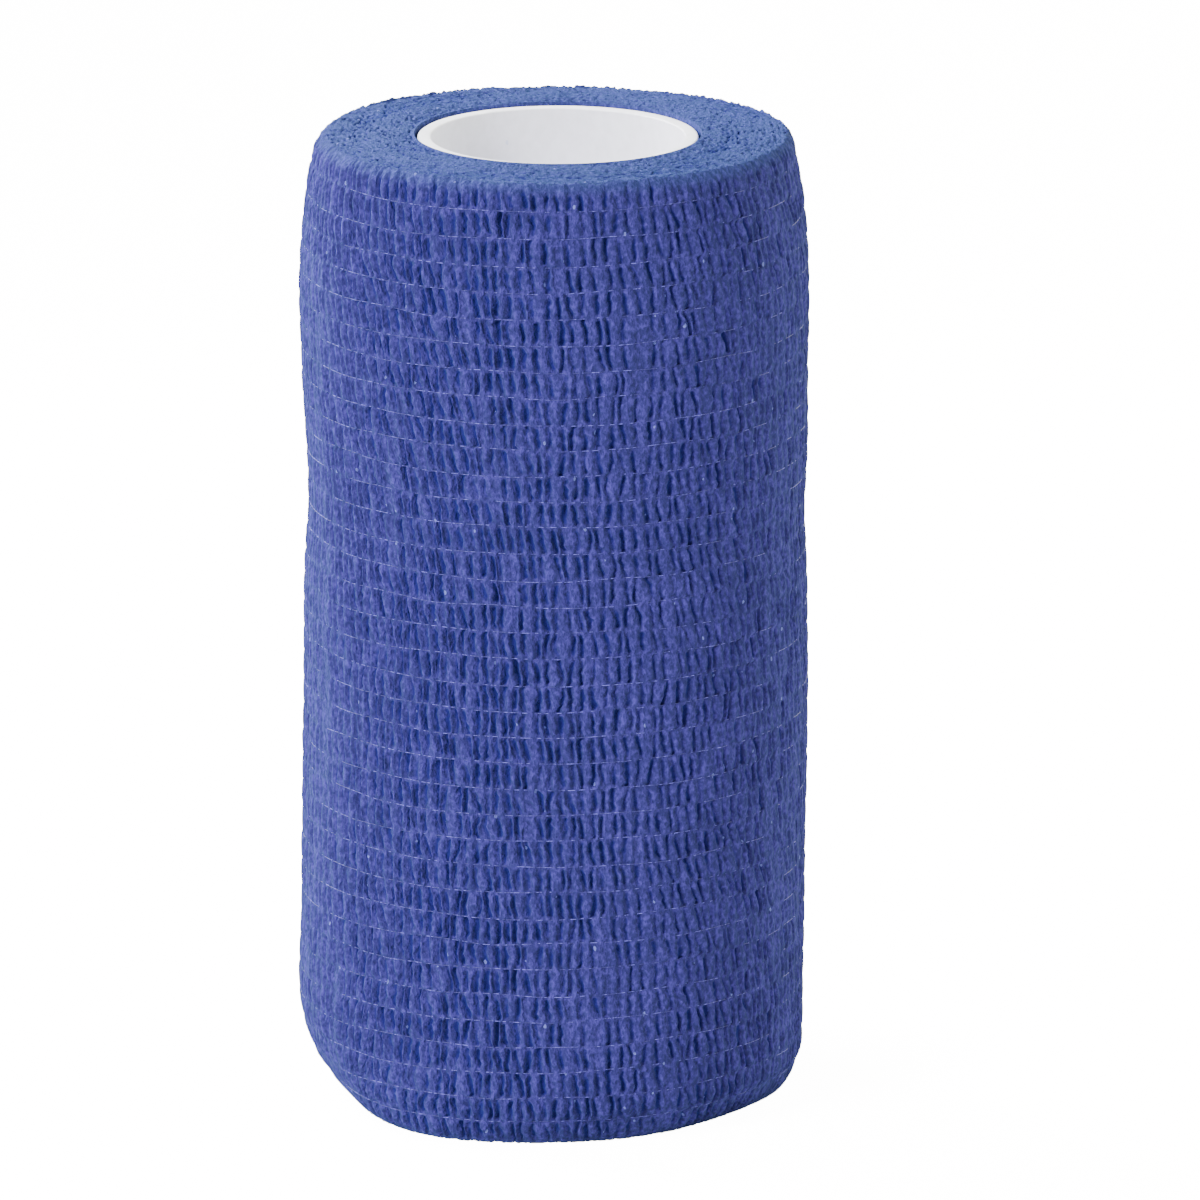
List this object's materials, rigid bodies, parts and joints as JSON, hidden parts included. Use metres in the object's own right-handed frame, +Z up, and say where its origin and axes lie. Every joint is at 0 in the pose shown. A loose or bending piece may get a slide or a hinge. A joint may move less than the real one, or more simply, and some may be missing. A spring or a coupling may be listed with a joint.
{
  "type": "cohesive bandage roll",
  "caption": "Roll of blue crinkled elastic cohesive bandage, wound on an open plastic core and standing on its end.",
  "frame": {"origin": "middle of the flat lower end that the roll stands on", "axes": "+Z up along the roll's axis, +X to the right and -Y towards the front, as in the picture"},
  "size_m": [0.0524, 0.0514, 0.1],
  "materials": {
    "bandage_cloth": "matt crinkled nonwoven with fine pale elastic threads across its ribs",
    "core_plastic": "smooth white, softly shining"
  },
  "bodies": {
    "root": {"bandage_roll": "bandage_cloth", "core_tube": "core_plastic"}
  },
  "joints": []
}
